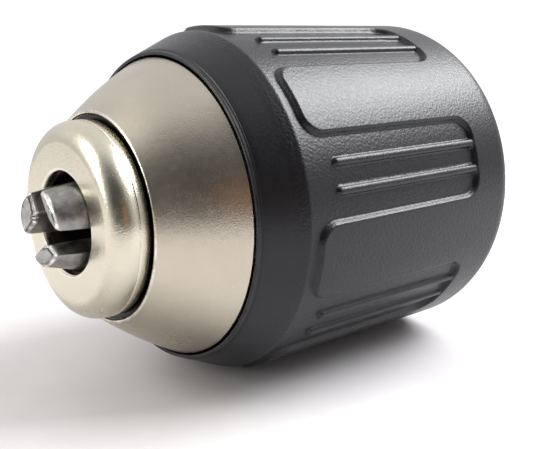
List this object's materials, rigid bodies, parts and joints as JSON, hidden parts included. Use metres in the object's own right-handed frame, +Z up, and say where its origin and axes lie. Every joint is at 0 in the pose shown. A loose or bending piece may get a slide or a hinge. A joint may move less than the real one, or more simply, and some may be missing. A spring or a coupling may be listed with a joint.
{
  "type": "keyless drill chuck",
  "caption": "Single-sleeve keyless drill chuck with sliding jaws, a split screw nut on a ball bearing and a female spindle thread.",
  "frame": {"origin": "on the turning axis, in the plane of the body's tail face, where the spindle enters", "axes": "+Y along the turning axis out of the tail, towards the drill; -Y towards the tool; +Z up with the chuck lying on its sleeve"},
  "size_m": [0.038, 0.0519, 0.038],
  "materials": {
    "dark_steel": "turned and lightly oiled",
    "nickel_cap": "matt nickel plate",
    "nickel_shell": "bead blasted nickel plate",
    "black_nylon": "spark-eroded grain",
    "zinc_plate": "zinc plated pressing",
    "spring_steel": "blued",
    "race_steel": "ground",
    "ball_steel": "polished",
    "cage_plastic": "moulded",
    "nut_steel": "sintered",
    "jaw_steel": "ground and hardened"
  },
  "bodies": {
    "body": {"chuck_body": "dark_steel", "nose_cap": "nickel_cap", "rear_cover": "zinc_plate", "snap_ring": "spring_steel", "rear_race": "race_steel"},
    "sleeve": {"grip_sleeve": "black_nylon", "drive_ring": "zinc_plate", "nose_shell": "nickel_shell", "nut_half_upper": "nut_steel", "nut_half_lower": "nut_steel", "nut_band": "spring_steel", "front_race": "race_steel"},
    "bearing": {"ball_cage": "cage_plastic", "ball_01": "ball_steel", "ball_02": "ball_steel", "ball_03": "ball_steel", "ball_04": "ball_steel", "ball_05": "ball_steel", "ball_06": "ball_steel", "ball_07": "ball_steel", "ball_08": "ball_steel", "ball_09": "ball_steel", "ball_10": "ball_steel", "ball_11": "ball_steel", "ball_12": "ball_steel", "ball_13": "ball_steel", "ball_14": "ball_steel", "ball_15": "ball_steel", "ball_16": "ball_steel", "ball_17": "ball_steel", "ball_18": "ball_steel", "ball_19": "ball_steel", "ball_20": "ball_steel", "ball_21": "ball_steel", "ball_22": "ball_steel", "ball_23": "ball_steel", "ball_24": "ball_steel"},
    "jaw_1": {"jaw_1": "jaw_steel"},
    "jaw_2": {"jaw_2": "jaw_steel"},
    "jaw_3": {"jaw_3": "jaw_steel"}
  },
  "joints": [
    {"name": "jaw_1_slide", "type": "slide", "parent": "body", "child": "jaw_1", "axis": [-0.1902, -0.9659, -0.1755], "range_m": [-0.01217, 0.0056]},
    {"name": "jaw_2_slide", "type": "slide", "parent": "body", "child": "jaw_2", "axis": [0.2471, -0.9659, -0.077], "range_m": [-0.01219, 0.00562]},
    {"name": "jaw_3_slide", "type": "slide", "parent": "body", "child": "jaw_3", "axis": [-0.0569, -0.9659, 0.2525], "range_m": [-0.01219, 0.00562]},
    {"name": "sleeve_turn", "type": "hinge", "parent": "body", "child": "sleeve", "pos_m": [0, 0, 0], "axis": [0, 1, 0], "range_deg": [-2646.95, 1219.07]},
    {"name": "bearing_turn", "type": "hinge", "parent": "body", "child": "bearing", "pos_m": [0, 0, 0], "axis": [0, 1, 0], "range_deg": [-1324.47, 610.53]}
  ],
  "couplings": [
    {"joint": "sleeve_turn", "follows": "jaw_1_slide", "rad_per_m": 3793.2},
    {"joint": "bearing_turn", "follows": "jaw_1_slide", "rad_per_m": 1896.6},
    {"joint": "jaw_2_slide", "follows": "jaw_1_slide", "ratio": 1},
    {"joint": "jaw_3_slide", "follows": "jaw_1_slide", "ratio": 1}
  ]
}
